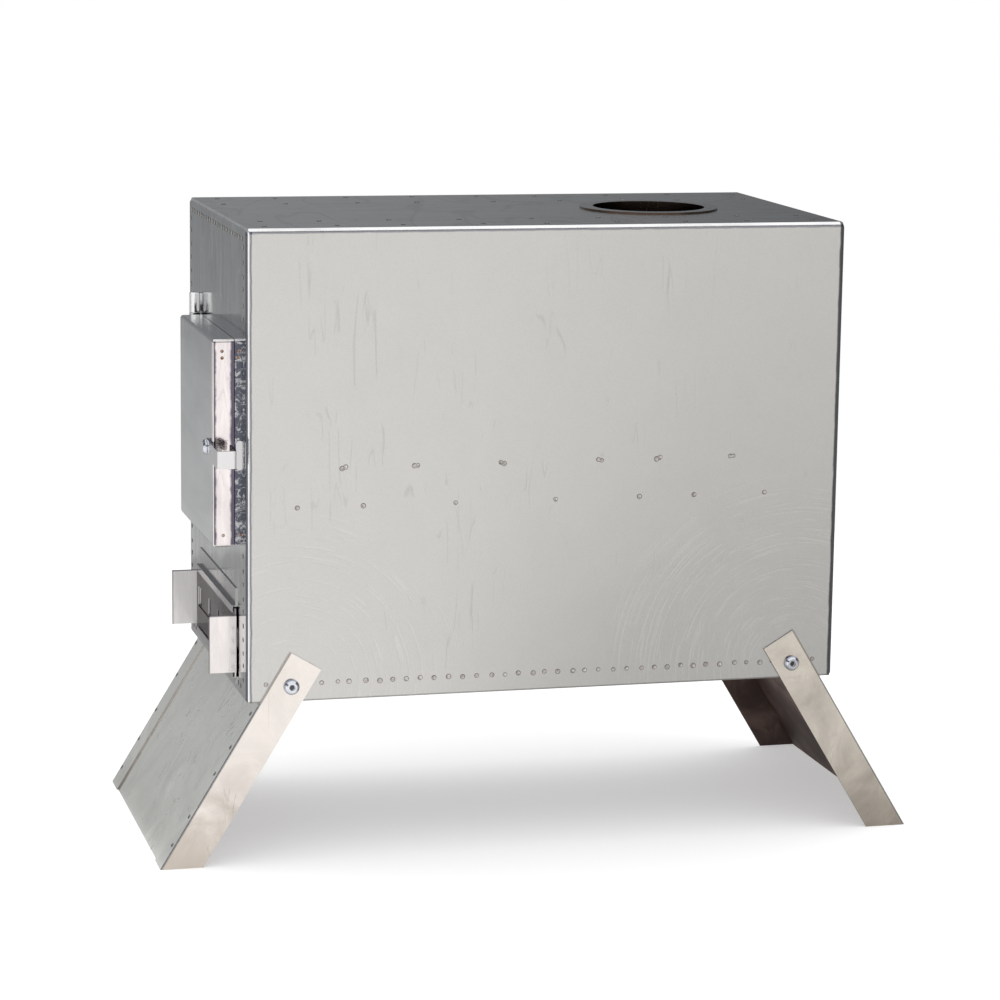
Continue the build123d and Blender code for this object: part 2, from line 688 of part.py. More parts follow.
# Leg nuts: hexagon nuts against the inside of the pan flanges
nut_plane = Plane(origin=(-bolt_x, -inner_width / 2 + sheet, bolt_z), x_dir=(1, 0, 0), z_dir=(0, 1, 0))
with BuildPart() as leg_nuts:
    with BuildSketch(nut_plane):
        RegularPolygon(nut_flats / 2, 6, major_radius=False)
        Circle(bolt_radius, mode=Mode.SUBTRACT)
    extrude(amount=nut_height)
    mirror(about=Plane.XZ)
save(leg_nuts, "front_leg_nuts")
save_mirrored(leg_nuts, Plane.YZ, "rear_leg_nuts")
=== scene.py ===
# %% [markdown]
# # A camping wood stove in spot-welded steel
# The imported CAD model gives every sheet, hinge and bolt at its real size.  This file
# gives them their finish, adds the small marks that welding and use leave on such a
# stove, and lights it like a catalogue picture.  The first cell loads the model and
# keeps its outer box.

import json
from math import cos, degrees, pi, radians, sin

import bpy
import numpy as np
from mathutils import Matrix, Vector

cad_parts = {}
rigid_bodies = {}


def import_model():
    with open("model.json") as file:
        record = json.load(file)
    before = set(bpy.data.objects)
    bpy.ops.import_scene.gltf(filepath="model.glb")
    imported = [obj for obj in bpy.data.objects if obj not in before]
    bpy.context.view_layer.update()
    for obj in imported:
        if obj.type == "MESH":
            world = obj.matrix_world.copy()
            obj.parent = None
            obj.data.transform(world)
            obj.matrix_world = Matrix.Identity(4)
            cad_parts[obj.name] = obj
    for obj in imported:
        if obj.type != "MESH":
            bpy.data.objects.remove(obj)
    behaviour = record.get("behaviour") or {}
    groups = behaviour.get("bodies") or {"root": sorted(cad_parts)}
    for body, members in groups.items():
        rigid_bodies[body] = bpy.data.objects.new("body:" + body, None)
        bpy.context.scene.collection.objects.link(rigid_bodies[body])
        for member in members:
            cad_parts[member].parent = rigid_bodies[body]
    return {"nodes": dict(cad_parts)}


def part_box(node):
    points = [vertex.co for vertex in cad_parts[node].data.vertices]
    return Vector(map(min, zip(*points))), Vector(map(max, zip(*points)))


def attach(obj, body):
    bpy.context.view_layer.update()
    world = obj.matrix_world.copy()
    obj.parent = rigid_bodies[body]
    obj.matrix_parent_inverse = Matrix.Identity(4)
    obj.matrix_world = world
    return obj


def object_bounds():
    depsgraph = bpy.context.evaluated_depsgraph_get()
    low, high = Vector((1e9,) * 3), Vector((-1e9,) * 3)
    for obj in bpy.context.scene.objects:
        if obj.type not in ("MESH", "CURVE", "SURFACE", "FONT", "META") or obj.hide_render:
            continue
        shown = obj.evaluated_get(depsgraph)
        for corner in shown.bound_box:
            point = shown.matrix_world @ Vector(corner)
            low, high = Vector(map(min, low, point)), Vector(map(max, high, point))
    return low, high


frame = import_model()
cad_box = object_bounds()
nodes = frame["nodes"]
MM = 0.001
box_in_mm = [[round(v / MM, 1) for v in corner] for corner in cad_box]
print("nodes:", len(nodes), "box in mm:", box_in_mm)

# %% [markdown]
# ## The camera
# The photograph was taken with a long lens from the latch side, somewhat towards the door
# end and from above the roof.  Matching the corners of the box, the feet and the bolts to
# their places in the picture gives the camera's place and its three turns.  A small
# lens shift puts the stove where the picture has it without tilting the camera.

# %% Place the camera
camera_place = Vector((-0.5981, -2.2579, 0.6546))
camera_yaw = radians(15.08)
camera_pitch = radians(10.36)
camera_roll = radians(0.84)
lens_mm, sensor_mm = 118.98, 36
lens_shift = (-0.0219, -0.0013)

scene = bpy.context.scene
ahead = Vector((
    sin(camera_yaw) * cos(camera_pitch),
    cos(camera_yaw) * cos(camera_pitch),
    -sin(camera_pitch),
))
level_right = Vector((cos(camera_yaw), -sin(camera_yaw), 0))
level_up = level_right.cross(ahead)
right = cos(camera_roll) * level_right + sin(camera_roll) * level_up
up = cos(camera_roll) * level_up - sin(camera_roll) * level_right

camera_data = bpy.data.cameras.new("camera")
camera_data.lens = lens_mm
camera_data.sensor_width = sensor_mm
camera_data.shift_x, camera_data.shift_y = lens_shift
camera = bpy.data.objects.new("camera", camera_data)
turn = Matrix((right, up, -ahead)).transposed().to_4x4()
camera.matrix_world = Matrix.Translation(camera_place) @ turn
scene.collection.objects.link(camera)
scene.camera = camera
print("camera is", round(camera_place.length, 2), "m away, pitch", round(degrees(camera_pitch), 1))

# %% [markdown]
# ## Writing shader maths as sums
# A material's node tree is easier to read as an expression than as a web of boxes.
# `Wire` wraps one output socket, and each operator on it adds the Math node that does
# that step.  `Finish` wraps a node tree and has one method that adds any other node.

# %% A socket that can be added and multiplied
class Wire:
    """One output socket of a node tree.  An operator on it adds a Math node."""

    def __init__(self, finish, socket):
        self.finish = finish
        self.socket = socket

    def maths(self, operation, *others):
        values = dict(enumerate((self, *others)))
        return self.finish.node("ShaderNodeMath", {"operation": operation}, values)

    def __add__(self, other):
        return self.maths("ADD", other)

    def __mul__(self, other):
        return self.maths("MULTIPLY", other)

    def __sub__(self, other):
        return self.maths("SUBTRACT", other)

    def __rsub__(self, other):
        values = {0: other, 1: self}
        return self.finish.node("ShaderNodeMath", {"operation": "SUBTRACT"}, values)

    def __pow__(self, other):
        return self.maths("POWER", other)

    __radd__ = __add__
    __rmul__ = __mul__

    def size(self):
        """The value without its sign."""
        return self.maths("ABSOLUTE")


class Finish:
    """A material's node tree with its Principled shader, and one way to add nodes to it."""

    def __init__(self, name, metallic=1.0):
        self.material = bpy.data.materials.new(name)
        self.material.use_nodes = True
        self.tree = self.material.node_tree
        self.shader = self.tree.nodes["Principled BSDF"]
        self.shader.inputs["Metallic"].default_value = metallic

    def node(self, kind, settings=None, values=None, output=0):
        """Add a node: its settings first, then the values or wires of its sockets."""
        node = self.tree.nodes.new(kind)
        for setting, value in (settings or {}).items():
            setattr(node, setting, value)
        for socket, value in (values or {}).items():
            self.plug(node.inputs[socket], value)
        return Wire(self, node.outputs[output])

    def plug(self, socket, value):
        if isinstance(value, Wire):
            self.tree.links.new(value.socket, socket)
        elif socket.type == "RGBA" and len(value) == 3:
            socket.default_value = (*value, 1.0)
        else:
            socket.default_value = value

    def feed(self, **values):
        """Set the Principled shader's sockets: Base_Color=... is its Base Color."""
        for name, value in values.items():
            self.plug(self.shader.inputs[name.replace("_", " ")], value)

    def place(self):
        """Object coordinates, which are the stove's own metres."""
        return self.node("ShaderNodeTexCoord", output="Object")

    def axes(self, vector):
        """The x, y and z of a vector as three wires."""
        split = self.node("ShaderNodeSeparateXYZ", values={0: vector}).socket.node
        return [Wire(self, socket) for socket in split.outputs]

    def stretch(self, vector, scale, turn=(0, 0, 0)):
        """The vector scaled and turned by a Mapping node."""
        values = {"Vector": vector, "Scale": scale, "Rotation": turn}
        return self.node("ShaderNodeMapping", values=values)

    def noise(self, vector, scale, detail=3.0, rough=0.5, bend=0.0):
        """Cloudy noise between 0 and 1."""
        values = {
            "Vector": vector, "Scale": scale, "Detail": detail,
            "Roughness": rough, "Distortion": bend,
        }
        return self.node("ShaderNodeTexNoise", values=values)

    def step(self, value, low, high):
        """0 below low, 1 above high, smooth between them."""
        settings = {"interpolation_type": "SMOOTHSTEP"}
        values = {0: value, 1: low, 2: high, 3: 0.0, 4: 1.0}
        return self.node("ShaderNodeMapRange", settings, values)

    def within(self, value, start, full, fading, end):
        """1 between full and fading, falling smoothly to 0 at start and at end."""
        return self.step(value, start, full) * (1 - self.step(value, fading, end))

    def blend(self, share, first, second, how="MIX"):
        """The first colour going over to the second by share."""
        settings = {"data_type": "RGBA", "blend_type": how}
        return self.node("ShaderNodeMix", settings, {0: share, 6: first, 7: second}, output=2)

    def bump(self, height):
        """A normal that leans as if the surface stood height metres proud."""
        return self.node("ShaderNodeBump", values={"Height": height, "Distance": 1.0})


def dress(finish, *names):
    """Give a finish to CAD nodes, in every material slot they have."""
    for name in names:
        slots = nodes[name].data.materials
        slots.clear()
        slots.append(finish.material)


print("shader helpers ready")

# %% [markdown]
# ## The studio
# Polished steel shows its surroundings more than itself, so the surroundings are
# designed first.  In the photograph the walls that face the lens mirror a bright table,
# while the roof and the door end mirror a darker room behind.  The world is therefore
# bright in front and overhead, dim behind, with a dark band at mid height that the bends
# pick up as a line, and plain white where the camera looks straight at it.  The masks
# below read the direction's parts, each from -1 to 1.

# %% Surroundings that the steel mirrors
room_grey = (0.262, 0.268, 0.274)
room_low = (0.56, 0.56, 0.555)
corner_light = (0.66, 0.665, 0.645)
corner_dark = (0.06, 0.06, 0.062)
table_white = (1.0, 0.985, 0.965)
band_blue = (0.085, 0.09, 0.125)
white = (1.0, 1.0, 1.0)
right_dimming = 0.66


def paint_world():
    """World colour by direction: bright in front, dim behind, a dark band, white above."""
    world = bpy.data.worlds.new("studio")
    world.use_nodes = True
    scene.world = world
    sky = Finish("sky")
    bpy.data.materials.remove(sky.material)
    sky.tree = world.node_tree
    background = sky.tree.nodes["Background"]
    direction = sky.node("ShaderNodeTexCoord", output="Generated")
    towards_right, towards_back, height = sky.axes(direction)
    front = 1 - sky.step(towards_back, -0.35, 0.30)
    overhead = sky.step(height, 0.50, 0.66)
    band = sky.step(height, 0.18, 0.30) * (1 - overhead)
    low = 1 - sky.step(height, -0.22, -0.09)
    left = sky.step(0 - towards_right, 0.20, 0.34) * (1 - sky.step(height, 0.05, 0.12))
    right_behind = sky.step(towards_right, 0.16, 0.42) * (1 - front)
    right_side = right_behind + sky.step(towards_right, 0.55, 0.75) * front
    colour = sky.blend(low, room_grey, room_low)
    colour = sky.blend(left, colour, corner_light)
    colour = sky.blend(front, colour, table_white)
    colour = sky.blend(right_side * right_dimming, colour, corner_dark)
    colour = sky.blend(band, colour, band_blue)
    colour = sky.blend(overhead, colour, white)
    seen = sky.node("ShaderNodeLightPath", output="Is Camera Ray")
    colour = sky.blend(seen, colour, white)
    sky.plug(background.inputs["Color"], colour)
    background.inputs["Strength"].default_value = 1.0


paint_world()
print("world ready")

# %% [markdown]
# The table is a white sheet that keeps the stove's soft shadow.  It glows a little, so
# that it reads as white.  The steel sees a greyer sheet with its own glow,
# which fades to the right, more so close to the stove, and is weak behind it.  The
# satin wall shows that fade as its own shading.

# %% The white table
table_front, table_back, table_half_width = -5.0, 0.95, 3.5
table_grey, table_glow = 0.80, 0.440
mirrored_grey, mirrored_glow = 0.38, 0.76
near_start, near_end = -1.7, -0.6
fade_slope, fade_length = 0.276, 0.17
far_fade, near_fade, near_lead, near_loss = 0.50, 0.68, 0.15, 0.09
behind_start, behind_end = -0.1, 0.25
behind_grey, behind_glow = 0.22, 0.17


def make_table():
    """A white sheet under the stove that keeps the soft shadow and ends behind it."""
    corners = [
        (-table_half_width, table_front, 0), (table_half_width, table_front, 0),
        (table_half_width, table_back, 0), (-table_half_width, table_back, 0),
    ]
    mesh = bpy.data.meshes.new("table")
    mesh.from_pydata(corners, [], [(0, 1, 2, 3)])
    table = bpy.data.objects.new("table", mesh)
    scene.collection.objects.link(table)
    paper = Finish("white_table", metallic=0.0)
    tree = paper.tree
    along, across, _ = paper.axes(paper.place())
    near = paper.step(across, near_start, near_end)
    behind = paper.step(across, behind_start, behind_end)
    faded = paper.step(along + across * fade_slope + near * near_lead, 0.0, fade_length)
    lost = faded * (far_fade + near * (near_fade - far_fade))
    glow_in_front = (1 - lost) * (mirrored_glow - near * near_loss)
    glow = glow_in_front * (1 - behind) + behind * behind_glow
    matt = paper.node("ShaderNodeBsdfDiffuse", values={"Color": (table_grey,) * 3})
    greyed = paper.blend(behind, (mirrored_grey,) * 3, (behind_grey,) * 3)
    dull = paper.node("ShaderNodeBsdfDiffuse", values={"Color": greyed})
    light = paper.node("ShaderNodeEmission", values={"Color": white, "Strength": table_glow})
    mirrored_light = paper.node(
        "ShaderNodeEmission", values={"Color": table_white, "Strength": glow})
    mirrored = paper.node("ShaderNodeLightPath", output="Is Glossy Ray")
    bright = paper.node("ShaderNodeAddShader", values={0: matt, 1: light})
    reflected = paper.node("ShaderNodeAddShader", values={0: dull, 1: mirrored_light})
    mixed = paper.node("ShaderNodeMixShader", values={0: mirrored, 1: bright, 2: reflected})
    tree.links.new(mixed.socket, tree.nodes["Material Output"].inputs["Surface"])
    tree.nodes.remove(paper.shader)
    mesh.materials.append(paper.material)


make_table()
print("table ready")

# %% [markdown]
# One large soft lamp overhead throws the soft shadow under the stove, and a weak one
# from the door side keeps the door end from going flat.  Neither is mirrored in the
# steel, because the photograph shows no lamp's outline there.

# %% Lamps
def soft_lamp(name, place, target, width, watts):
    """A square area lamp of that width at place, turned to face target."""
    data = bpy.data.lights.new(name, "AREA")
    data.shape = "SQUARE"
    data.size = width
    data.energy = watts
    lamp = bpy.data.objects.new(name, data)
    scene.collection.objects.link(lamp)
    lamp.location = place
    lamp.rotation_euler = (Vector(target) - Vector(place)).to_track_quat("-Z", "Y").to_euler()
    lamp.visible_glossy = False


soft_lamp("key_lamp", place=(-0.10, -0.12, 2.0), target=(0.0, -0.1, 0.0), width=3.2, watts=13.4)
soft_lamp("door_lamp", place=(-2.0, 0.3, 1.2), target=(0.0, 0.0, 0.2), width=1.2, watts=5)
scene.view_settings.view_transform = "Standard"
print("lamps ready")

# %% [markdown]
# ## Stainless sheet
# The stove is cold-rolled stainless sheet.  It is almost plain, with a fine grain, faint
# clouds where hands and tools have touched it, and hair scratches.  Clouds and grain are
# noise at two scales.  Scratches are contour lines of a noise that is drawn out along
# one direction, kept only where another noise is high, which breaks them into short
# separate strokes.  The same marks lean the surface a little, so they catch light.
# Depths here are metres.

# %% Scratches, clouds and grain
cloud_scale, grain_scale, wave_scale = 12.0, 1100.0, 11.0
grain_depth = stroke_depth = 0.00003
stroke_width, patch_share, patch_edge = 0.011, 0.35, 0.05
cloud_rough, mark_rough = 0.04, 0.12
crease_width = 0.030
square_start, square_full = 0.80, 0.95


def scratches(finish, scale, keep, turn, long=14.0):
    """1 on thin strokes: contours of a drawn-out noise, kept where another tops keep."""
    drawn = finish.stretch(finish.at, (1.0, 1.0, 1.0 / long), turn)
    hills = finish.noise(drawn, scale, detail=1.0, bend=0.2)
    line = 1 - finish.step((hills - 0.5).size(), 0.0, stroke_width)
    patches = finish.noise(finish.at, scale * patch_share, detail=2.0)
    return line * finish.step(patches, keep, keep + patch_edge)


def sheet_steel(name, rough, cloud=0.05, grain=0.03, scratch=0.08, metallic=1.0):
    """Start a sheet finish: its light (1 is clean metal), roughness and small relief."""
    finish = Finish(name, metallic)
    finish.at = finish.place()
    finish.clouds = finish.noise(finish.at, cloud_scale, rough=0.55, bend=0.6)
    fine = finish.noise(finish.at, grain_scale, detail=2.0)
    hair = scratches(finish, 60.0, keep=0.56, turn=(0.35, 0.6, 0.2))
    nicks = scratches(finish, 95.0, keep=0.58, turn=(0.2, -0.9, 0.7), long=8.0)
    marks = hair + nicks
    clouding, graining = (finish.clouds - 0.5) * 2, (fine - 0.5) * 2
    finish.light = 1 + clouding * cloud + graining * grain - marks * scratch
    finish.rough = rough + clouding * cloud_rough + marks * mark_rough
    finish.relief = fine * grain_depth - marks * stroke_depth
    return finish


def complete(finish, colour, wave=0.0):
    """Feed colour times light, roughness, and relief with waves wave metres deep."""
    finish.feed(Base_Color=finish.blend(1.0, colour, finish.light, how="MULTIPLY"))
    finish.feed(Roughness=finish.rough)
    height = finish.relief
    if wave:
        waves = finish.noise(finish.at, wave_scale, detail=2.0, rough=0.4, bend=0.5)
        height = height + waves * wave
    finish.feed(Normal=finish.bump(height))
    return finish


def creases(finish, scale, drawn):
    """1 on broad wavy lines: contour lines of a smooth noise, drawn out by the drawn scales."""
    hills = finish.noise(finish.stretch(finish.at, drawn), scale, detail=2.0, bend=1.5)
    return 1 - finish.step((hills - 0.5).size(), 0.0, crease_width)


def facing(finish, axis):
    """How squarely the surface faces along an axis of the stove, without its sign."""
    normal = finish.node("ShaderNodeTexCoord", output="Normal")
    return finish.axes(normal)[axis].size()


def square(finish, axis):
    """1 where the surface faces squarely along an axis of the stove, 0 on other faces."""
    return finish.step(facing(finish, axis), square_start, square_full)


print("sheet helpers ready")

# %% [markdown]
# ## The wrapped shell
# The two walls are satin and the roof and bends are bright, though all are one sheet, so
# the finish tells them apart by which way the surface faces.  The roof's base colour is
# set darker than the walls', which is painted shade, and the bends' is near white, which
# is a painted highlight.  Each folding leg has rubbed arcs into the wall round its bolt:
# noise that is read in rings, by distance from the bolt, gives strokes that follow the
# circle.  Broad wavy dark lines of painted shade, standing in for creases, cross the roof.
# A violet line beside the front and upper bends is a painted reflection, and the rear fold
# and the foot edge are painted dark as painted shade.  Each line is a range of distances
# from its edge, made a little uneven.

# %% Satin walls and bright roof
leg_bolt_x, leg_bolt_z = 0.1794, 0.1235
shell_low, shell_high = (Vector(corner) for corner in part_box("shell"))
arc_rings, arc_turns = 640.0, 1.9
arc_start, arc_full = 16 * MM, 30 * MM
arc_depth = 0.00003
front_line = [distance * MM for distance in (1.2, 1.6, 2.2, 3.0)]
roof_line = [distance * MM for distance in (2.0, 2.6, 3.2, 4.0)]
rear_line_start, rear_line_full = 3.0 * MM, 1.8 * MM
foot_line_full, foot_line_end = 0.4 * MM, 1.4 * MM
# The roof's darker tone is painted shade and the bends' near-white tone a painted highlight.
roof_shade_tone, wall_tone, bend_highlight_tone = (0.58, 0.585, 0.59), (0.655, 0.647, 0.625), (0.97, 0.97, 0.98)
# The violet line beside the bends is painted reflection; the rear and foot darks are painted shade.
violet_reflection_line, rear_shade_dark, foot_shade_dark = (0.10, 0.105, 0.17), (0.035, 0.035, 0.04), (0.08, 0.075, 0.07)


def swing_arcs(finish, bolt_x, reach, keep):
    """1 on strokes that run in rings round a bolt: noise read by distance and angle."""
    x, _, z = finish.axes(finish.at)
    right_of, above = x - bolt_x, z - leg_bolt_z
    distance = (right_of * right_of + above * above) ** 0.5
    angle = right_of.maths("ARCTAN2", above)
    values = {0: distance * arc_rings, 1: angle * arc_turns}
    rings = finish.node("ShaderNodeCombineXYZ", values=values)
    strokes = finish.step(finish.noise(rings, 1.0, detail=1.0), keep, keep + patch_edge)
    return strokes * finish.within(distance, arc_start, arc_full, reach * 0.8, reach)


def shell_finish():
    finish = sheet_steel("wrapped_shell", 0.30, cloud=0.022, grain=0.07, scratch=0.015)
    x, _, z = finish.axes(finish.at)
    walls = finish.step(facing(finish, 1), 0.90, 0.985)
    roof = finish.step(facing(finish, 2), 0.95, 0.998)
    bends = (1 - walls) * (1 - roof)
    rear_arcs = swing_arcs(finish, leg_bolt_x, reach=0.15, keep=0.57)
    front_arcs = swing_arcs(finish, -leg_bolt_x, reach=0.13, keep=0.60)
    arcs = (rear_arcs + front_arcs) * walls
    drawn = finish.stretch(finish.at, (1.6, 14.0, 1.0))
    streaks = finish.noise(drawn, 9.0, rough=0.6, bend=0.5)
    leaning = finish.stretch(finish.at, (9.0, 1.0, 9.0), turn=(0.0, 0.5, 0.0))
    smears = finish.noise(leaning, 1.6, rough=0.6, bend=1.2)
    # Dark wavy lines on the roof, standing in for creases: painted shade.
    crease_shade = creases(finish, 13.0, drawn=(1.0, 0.3, 1.0)) * roof
    roof_light = (1 + (streaks - 0.5) * 0.85) * (1 - crease_shade * 0.24)
    wall_light = 1 + (smears - 0.5) * 0.05 + arcs * 0.05
    finish.light = finish.light * (walls * wall_light + (1 - walls) * roof_light)
    finish.rough = finish.rough * walls + (1 - walls) * (0.12 + (streaks - 0.5) * 0.10)
    finish.relief = finish.relief - arcs * arc_depth
    # The roof darker than the walls of the same sheet: painted shade.
    tone = finish.blend(walls, roof_shade_tone, wall_tone)
    # The near-white bends: painted highlight.
    tone = finish.blend(bends, tone, bend_highlight_tone)
    uneven = (finish.noise(finish.at, 90.0, detail=2.0) - 0.5) * (1.2 * MM)
    # Violet lines beside the front and upper bends: painted reflection.
    front_fold_reflection = finish.within(x - shell_low.x + uneven, *front_line)
    roof_fold_reflection = finish.within(shell_high.z - z + uneven, *roof_line)
    # A dark line along the rear fold: painted shade.
    rear_shade_line = finish.step(
        x + uneven, shell_high.x - rear_line_start, shell_high.x - rear_line_full)
    # A dark line along the foot edge of the walls: painted shade.
    foot_shade_line = 1 - finish.step(
        z + uneven * 0.4, shell_low.z + foot_line_full, shell_low.z + foot_line_end)
    tone = finish.blend((front_fold_reflection * 0.7 + roof_fold_reflection * 0.55) * walls, tone, violet_reflection_line)
    tone = finish.blend(rear_shade_line * 0.88, tone, rear_shade_dark)
    tone = finish.blend(foot_shade_line * 0.6, tone, foot_shade_dark)
    return complete(finish, tone, wave=0.6 * MM)


dress(shell_finish(), "shell")
print("shell finished")

# %% [markdown]
# ## The polished end panels
# The end panels are near mirrors.  Thin sheet is never flat, so broad shallow waves and a
# closer pucker bend what it mirrors, and drawn-out streaks in the panel's light are painted
# reflections of that waviness.  A dark strip follows each upright edge, where the panel is
# welded to the shell's lip; the strip is a painted reflection.

# %% Wavy mirror sheet
panel_low, panel_high = (Vector(corner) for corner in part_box("front_panel"))
panel_middle = (panel_low.y + panel_high.y) / 2
panel_half_width = (panel_high.y - panel_low.y) / 2
pucker_depth = 0.12 * MM
edge_full, edge_end = 1.2 * MM, 3.0 * MM


def end_panel_finish():
    finish = sheet_steel("end_panel", 0.09, cloud=0.10, grain=0.02, scratch=0.10)
    # Drawn-out streaks in the panel's light: painted reflections of the wavy sheet.
    drawn = finish.stretch(finish.at, (1.0, 6.0, 1.0))
    streaks = finish.noise(drawn, 16.0, rough=0.6, bend=0.8)
    finish.light = finish.light * (1 + (streaks - 0.5) * 0.75)
    pucker = finish.noise(finish.at, 70.0, detail=2.0)
    finish.relief = finish.relief + pucker * pucker_depth
    y = finish.axes(finish.at)[1]
    uneven = (finish.noise(finish.at, 120.0, detail=2.0) - 0.5) * MM
    from_edge = panel_half_width - ((y - panel_middle).size() + uneven)
    # A dark navy strip along each upright edge: painted reflection.
    edge_reflection = 1 - finish.step(from_edge, edge_full, edge_end)
    tone = finish.blend(edge_reflection * 0.85, (0.56, 0.575, 0.58), (0.04, 0.045, 0.07))
    return complete(finish, tone, wave=MM)


dress(end_panel_finish(), "front_panel", "back_panel")
print("end panels finished")

# %% [markdown]
# ## The door, its frame and the hinges
# The door is the brightest sheet.  Its folded sides mirror the table and look almost
# white, helped by a paler base colour that is a painted highlight, with a dark violet line
# along each fold that is a painted reflection.  The frame behind it mirrors the gap, and
# its sides are painted dark and mottled as a painted reflection.  A mask from the facing
# direction and from the place across the fold draws those lines.  On the damper, the far
# grip faces the grey slide, which would darken it as a mirror, so it is painted paler and
# less metallic than the near one: a painted highlight.  The slide's dark tone and the dark
# outlines along the grips' edges are painted shade.

# %% Door sheet
# Violet and navy are painted reflections: the line by the door's folds and the frame's sides.
violet_reflection, navy_reflection = (0.07, 0.055, 0.10), (0.05, 0.055, 0.085)
door_low, door_high = (Vector(corner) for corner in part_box("door_skin"))
door_side_middle = (door_low.x + door_high.x) / 2
door_side_half = (door_high.x - door_low.x) / 2
fold_line_full, fold_line_end = 1.6 * MM, 3.4 * MM


def door_finish():
    finish = sheet_steel("door_sheet", 0.11, cloud=0.13, grain=0.02, scratch=0.08)
    x = finish.axes(finish.at)[0]
    fold = facing(finish, 1)
    wobble = (finish.noise(finish.at, 160.0) - 0.5) * (2.2 * MM)
    from_edge = door_side_half - ((x - door_side_middle).size() + wobble)
    line = 1 - finish.step(from_edge, fold_line_full, fold_line_end)
    # The violet line along each fold: painted reflection.
    dark_reflection = line * square(finish, 1)
    drawn = finish.stretch(finish.at, (30.0, 1.0, 5.0))
    streaks = finish.noise(drawn, 7.0, rough=0.6, bend=0.6)
    finish.light = finish.light * (1 + (streaks - 0.5) * 0.55)
    # The door's folded sides get a paler base colour than its front: painted highlight.
    tone = finish.blend(fold, (0.725, 0.735, 0.75), (0.85, 0.80, 0.795))
    return complete(finish, finish.blend(dark_reflection * 0.92, tone, violet_reflection), wave=0.5 * MM)


def frame_finish():
    finish = sheet_steel("frame_sheet", 0.20, cloud=0.08, grain=0.05, scratch=0.10)
    side = square(finish, 1)
    spots = finish.noise(finish.at, 230.0, detail=4.0, rough=0.7, bend=1.2)
    mottle = finish.step(spots, 0.48, 0.60)
    # The frame's sides painted dark and mottled: painted reflection of the gap.
    dark_reflection = side * (0.92 - mottle * 0.55)
    tone = finish.blend(dark_reflection, (0.70, 0.70, 0.71), navy_reflection)
    return complete(finish, tone)


def bright_finish(name, colour, rough):
    finish = sheet_steel(name, rough, cloud=0.08, grain=0.02, scratch=0.10)
    return complete(finish, colour, wave=0.4 * MM)


slide_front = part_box("damper_slide")[0][0]
grip_top = 0.167
# The slide's dark tone is painted shade and the far grip's pale tone a painted highlight.
slide_shade_tone, near_grip_tone, far_grip_highlight_tone = (
    (0.23, 0.215, 0.215), (0.86, 0.815, 0.81), (1.0, 0.97, 0.965))


def damper_finish():
    finish = sheet_steel("damper_steel", 0.15, cloud=0.08, grain=0.02, scratch=0.08)
    x, y, z = finish.axes(finish.at)
    drawn = finish.stretch(finish.at, (8.0, 1.0, 1.2))
    streaks = finish.noise(drawn, 22.0, rough=0.6, bend=0.7)
    finish.light = finish.light * (1 + (streaks - 0.5) * 0.30)
    grips = finish.step(facing(finish, 1), 0.70, 0.95)
    # The far grip is painted paler and less metallic: painted highlight.
    far = finish.step(y, -20 * MM, 20 * MM)
    grip_tone = finish.blend(far, near_grip_tone, far_grip_highlight_tone)
    # The slide darker than its grips: painted shade.
    tone = finish.blend(grips, slide_shade_tone, grip_tone)
    # Dark outlines along the grips' outer and upper edges: painted shade.
    outer_edge_shade = 1 - finish.step(x, slide_front + 0.3 * MM, slide_front + 1.0 * MM)
    upper_edge_shade = finish.step(z, grip_top - 1.0 * MM, grip_top - 0.4 * MM)
    tone = finish.blend((outer_edge_shade + upper_edge_shade) * grips * 0.7, tone, (0.09, 0.07, 0.10))
    finish.feed(Metallic=1 - grips * far * 0.85, Specular_Tint=(0.5, 0.5, 0.5))
    return complete(finish, tone, wave=0.4 * MM)


dress(door_finish(), "door_skin")
dress(frame_finish(), "door_frame")
dress(bright_finish("hinge_steel", (0.86, 0.86, 0.87), 0.10), "hinge_leaf_upper",
      "hinge_leaf_lower", "hinge_knuckle_upper", "hinge_knuckle_lower")
dress(bright_finish("hook_steel", (0.78, 0.77, 0.775), 0.13), "latch")
dress(bright_finish("keeper_steel", (0.62, 0.61, 0.62), 0.14), "latch_keeper")
dress(damper_finish(), "damper_slide")
dress(bright_finish("guide_steel", (0.50, 0.49, 0.49), 0.14),
      "damper_guide_upper", "damper_guide_lower")
print("door end finished")

# %% [markdown]
# ## The stained legs
# The legs are plain warm-grey sheet that has stood in wet grass.  Water left tide marks,
# which are the contour lines of a smooth noise, and the lower ends are darker.
# The faces under the stove, and the whole far arm of the rear leg, are painted dark
# brown as painted shade.  The dark line down each arm follows the bend into the web and
# is painted shade: the distance from that bend is a sum of x and z, because the leg leans
# by leg_splay.

# %% Leg sheet
leg_splay = radians(31.2)
leg_foot_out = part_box("rear_leg_arm_near")[1][0]
foot_dark_height, pool_rise = 75 * MM, 100 * MM
fold_full, fold_end = 0.6 * MM, 1.6 * MM
web_tone, foot_dark_tone, leg_fold_shade_tone = (0.96, 0.96, 0.93), (0.55, 0.46, 0.37), (0.10, 0.09, 0.085)
# The browns of the faces under the stove and of the rear leg's far arm: painted shade.
shade_dark_brown, shade_brown = (0.085, 0.050, 0.042), (0.17, 0.110, 0.090)


